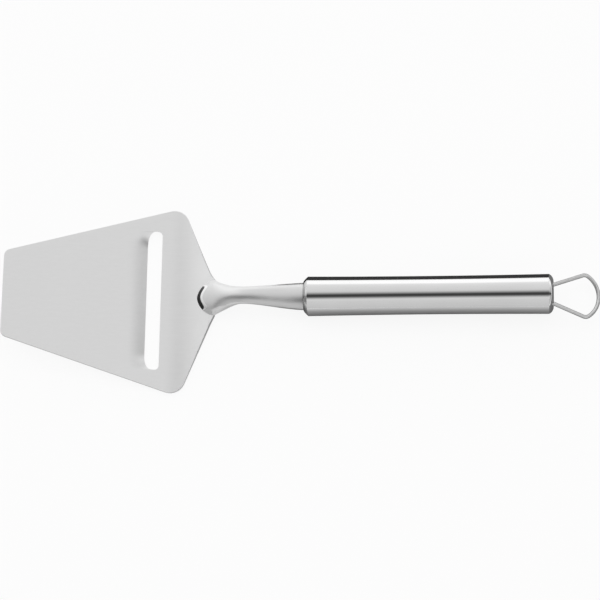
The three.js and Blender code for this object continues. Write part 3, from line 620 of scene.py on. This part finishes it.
def lay_sheet(name, low, high, height, material):
    """Lays a flat sheet of the studio between two corners."""
    bm = bmesh.new()
    sheet = bmesh.ops.create_grid(bm, x_segments=1, y_segments=1, size=0.5)["verts"]
    bmesh.ops.scale(bm, vec=(high[0] - low[0], high[1] - low[1], 1.0), verts=sheet)
    middle = ((low[0] + high[0]) / 2.0, (low[1] + high[1]) / 2.0, height)
    bmesh.ops.translate(bm, vec=middle, verts=sheet)
    mesh = bpy.data.meshes.new(name)
    bm.to_mesh(mesh)
    bm.free()
    mesh.materials.append(material)
    laid = bpy.data.objects.new(name, mesh)
    bpy.context.scene.collection.objects.link(laid)
    return laid


def matt_card(name, grey):
    material = bpy.data.materials.new(name)
    material.use_nodes = True
    surface = material.node_tree.nodes["Principled BSDF"]
    surface.inputs["Base Color"].default_value = (grey, grey, grey, 1.0)
    surface.inputs["Roughness"].default_value = 0.9
    surface.inputs["Specular IOR Level"].default_value = 0.0
    return material


white = matt_card("white_table", grey=0.9)
tree = white.node_tree
path = add_node(tree, "LightPath").outputs
mirrored = add_node(tree, "Math", {0: path["Is Glossy Ray"], 1: path["Is Transmission Ray"]},
                    operation="MAXIMUM")
seen = add_node(tree, "Math", {0: path["Is Camera Ray"], 1: mirrored.outputs["Value"]},
                operation="MAXIMUM")
share = add_node(tree, "Math", {0: seen.outputs["Value"], 1: FLOOR_WHITE}, operation="MULTIPLY")
glow = add_node(tree, "Emission", {"Strength": 1.0})
mix = add_node(tree, "MixShader", {"Fac": share.outputs["Value"],
                                   1: tree.nodes["Principled BSDF"].outputs["BSDF"],
                                   2: glow.outputs["Emission"]})
tree.links.new(mix.outputs["Shader"], tree.nodes["Material Output"].inputs["Surface"])
lay_sheet("table_top", (-FLOOR_HALF, -FLOOR_HALF), (FLOOR_HALF, FLOOR_HALF), -FLOOR_DROP, white)

# Cards on the table: a grey one along the near side, darkened towards the handle by a painted shadow of
# the tool and clearing towards the blade, a black one behind the handle and a dark one past its end. They
# only show in the steel, and draw the handle's dark edges. Each lies between two corners.
NEAR_LOW, NEAR_HIGH = (-0.14, -0.8), (0.117, 0.0)
FAR_LOW, FAR_HIGH = (-0.012, 0.0), (0.117, 0.2)
END_LOW, END_HIGH = (0.117, -0.1), (0.3, 0.2)
CARD_HEIGHT = -FLOOR_DROP / 2.0
NEAR_EVEN, NEAR_CLEAR, NEAR_FULL = -0.2, -0.06, -0.01
# Painted shadow of the tool on the near card: its grey by the distance from the handle.
NEAR_SHADOW_GREYS = ((0.0, 0.66), (0.35, 0.64), (0.65, 0.56), (0.82, 0.4), (0.93, 0.24))
near_grey = matt_card("near_card", grey=0.6)
tree = near_grey.node_tree
place = add_node(tree, "SeparateXYZ", {"Vector": add_node(tree, "TexCoord").outputs["Object"]})
off = add_node(tree, "MapRange", {"Value": place.outputs["Y"], "From Min": NEAR_EVEN, "From Max": 0.0})
painted_shadow_greys = add_node(tree, "ValToRGB", {"Fac": off.outputs["Result"]})
set_stops(painted_shadow_greys.color_ramp, NEAR_SHADOW_GREYS)
tree.links.new(painted_shadow_greys.outputs["Color"], tree.nodes["Principled BSDF"].inputs["Base Color"])
under_handle = add_node(tree, "MapRange", {"Value": place.outputs["X"], "From Min": NEAR_CLEAR,
                                           "From Max": NEAR_FULL})
clear = add_node(tree, "BsdfTransparent")
fading = add_node(tree, "MixShader", {"Fac": under_handle.outputs["Result"], 1: clear.outputs["BSDF"],
                                      2: tree.nodes["Principled BSDF"].outputs["BSDF"]})
tree.links.new(fading.outputs["Shader"], tree.nodes["Material Output"].inputs["Surface"])
black = matt_card("far_card", grey=0.045)
dark = matt_card("end_card", grey=0.2)
cards = [lay_sheet("near_card", NEAR_LOW, NEAR_HIGH, CARD_HEIGHT, near_grey),
         lay_sheet("far_card", FAR_LOW, FAR_HIGH, CARD_HEIGHT, black),
         lay_sheet("end_card", END_LOW, END_HIGH, CARD_HEIGHT, dark)]
for card in cards:
    card.visible_camera = False
    card.visible_diffuse = False
    card.visible_transmission = False
    card.visible_shadow = False

# Studio: a white tent round the tool, open as a long dark slit where the camera looks in. Its wall
# is brightest low on the far side. It has a part over the handle, one over the stem and one over the
# blade, where the slit is closed.
world = bpy.data.worlds.new("studio_tent")
bpy.context.scene.world = world
world.use_nodes = True
tree = world.node_tree
parts = add_node(tree, "SeparateXYZ", {"Vector": add_node(tree, "TexCoord").outputs["Generated"]}).outputs
around = add_node(tree, "Math", {0: parts["Y"], 1: parts["Z"]}, operation="ARCTAN2")
across = add_node(tree, "MapRange", {"Value": around.outputs["Value"], "From Min": -math.pi,
                                     "From Max": math.pi})
along = add_node(tree, "MapRange", {"Value": parts["X"], "From Min": -1.0, "From Max": 1.0})


def tent_ramp(side, stops):
    """Brightness of the tent across or along the tool."""
    ramp = add_node(tree, "ValToRGB", {"Fac": side.outputs["Result"]})
    set_stops(ramp.color_ramp, stops)
    return ramp.outputs["Color"]


# Across the tool: degrees from straight up towards the far side, and the brightness there.
OVER_HANDLE = ((-180, 0.35), (-120, 0.4), (-97, 0.56), (-80, 0.62), (-44, 0.68), (-36, 0.74),
               (-30, 0.58), (-24, 0.3), (-18, 0.07), (-8, 0.04), (-2, 0.2), (5, 0.45), (11, 0.66),
               (20, 0.72), (42, 0.78), (57, 0.86), (66, 1.15), (88, 1.15), (100, 0.8), (180, 0.35))
OVER_STEM = ((-180, 0.35), (-120, 0.4), (-97, 0.45), (-60, 0.48), (-44, 0.46), (-34, 0.36),
             (-24, 0.2), (-16, 0.05), (-6, 0.05), (0, 0.3), (6, 0.6), (12, 0.84), (25, 0.92),
             (45, 0.92), (66, 1.1), (88, 1.1), (100, 0.8), (180, 0.35))
OVER_BLADE = ((-180, 0.55), (-90, 0.8), (-40, 1.0), (2, 1.0), (12, 0.88), (20, 0.64), (32, 0.58),
              (90, 0.6), (180, 0.5))
handle_part, stem_part, blade_part = (
    tent_ramp(across, [((angle + 180.0) / 360.0, brightness) for angle, brightness in stops])
    for stops in (OVER_HANDLE, OVER_STEM, OVER_BLADE))
# Along the tool, from the tip's end of the tent to the loop's end: the share of the stem's part, the
# share of the blade's part, where the handle's part comes back, and how the ends fall off.
stem_share = tent_ramp(along, ((0.08, 0.0), (0.12, 1.0), (0.37, 1.0), (0.42, 0.0), (0.51, 0.0),
                               (0.535, 1.0)))
blade_share = tent_ramp(along, ((0.585, 0.0), (0.62, 1.0), (0.78, 1.0), (0.84, 0.0)))
past_blade = tent_ramp(along, ((0.78, 0.0), (0.84, 1.0)))
ends = tent_ramp(along, ((0.0, 0.85), (0.07, 1.1), (0.3, 1.05), (0.4, 1.0), (0.6, 1.0), (0.66, 0.97),
                         (0.85, 1.0), (0.93, 0.75), (1.0, 0.55)))
wall = handle_part
for share, part in ((stem_share, stem_part), (blade_share, blade_part), (past_blade, handle_part)):
    joined = add_node(tree, "Mix", {"Factor": share, "A": wall, "B": part}, data_type="RGBA")
    wall = joined.outputs["Result"]
lit = add_node(tree, "Mix", {"Factor": 1.0, "A": wall, "B": ends}, data_type="RGBA",
               blend_type="MULTIPLY")
tree.links.new(lit.outputs["Result"], tree.nodes["Background"].inputs["Color"])

# Lamp: one large soft box overhead, turned to the tool. It gives the table its soft shadow and
# doesn't show in the steel.
LAMP_SIZE, LAMP_POWER, LAMP_SPOT = (1.4, 1.0), 6.0, Vector((0.0, 0.25, 1.3))
lamp_data = bpy.data.lights.new("soft_box", "AREA")
lamp_data.shape = "RECTANGLE"
lamp_data.size, lamp_data.size_y = LAMP_SIZE
lamp_data.energy = LAMP_POWER
lamp = bpy.data.objects.new("soft_box", lamp_data)
lamp.location = LAMP_SPOT
lamp.rotation_euler = (-LAMP_SPOT).to_track_quat("-Z", "Y").to_euler()
lamp.visible_glossy = False
bpy.context.scene.collection.objects.link(lamp)

# Camera: almost straight down, leaning to the near side and a little towards the loop. It is moved
# aside and turned about its own line of sight to frame the tool as in the photograph.
LEAN_X, LEAN_Y, ROLL = math.radians(4.41), math.radians(14.43), math.radians(0.91)
DISTANCE, ASIDE = 1.0, (0.00094, -0.00063)
LENS_PX, IMAGE_PX, SENSOR = 2182.5, 600.0, 36.0
level_run = math.cos(LEAN_X)
back = Vector((math.sin(LEAN_X), -math.sin(LEAN_Y) * level_run, math.cos(LEAN_Y) * level_run))
right = Vector((0, 1, 0)).cross(back).normalized()
up = back.cross(right)
right, up = (math.cos(ROLL) * right + math.sin(ROLL) * up, math.cos(ROLL) * up - math.sin(ROLL) * right)
camera_data = bpy.data.cameras.new("camera")
camera_data.sensor_width = SENSOR
camera_data.lens = LENS_PX * SENSOR / IMAGE_PX
camera = bpy.data.objects.new("camera", camera_data)
camera_place = Matrix.Translation(back * DISTANCE - right * ASIDE[0] - up * ASIDE[1])
camera.matrix_world = camera_place @ Matrix((right, up, back)).transposed().to_4x4()
bpy.context.scene.collection.objects.link(camera)
bpy.context.scene.camera = camera
bpy.context.scene.view_settings.view_transform = "Standard"
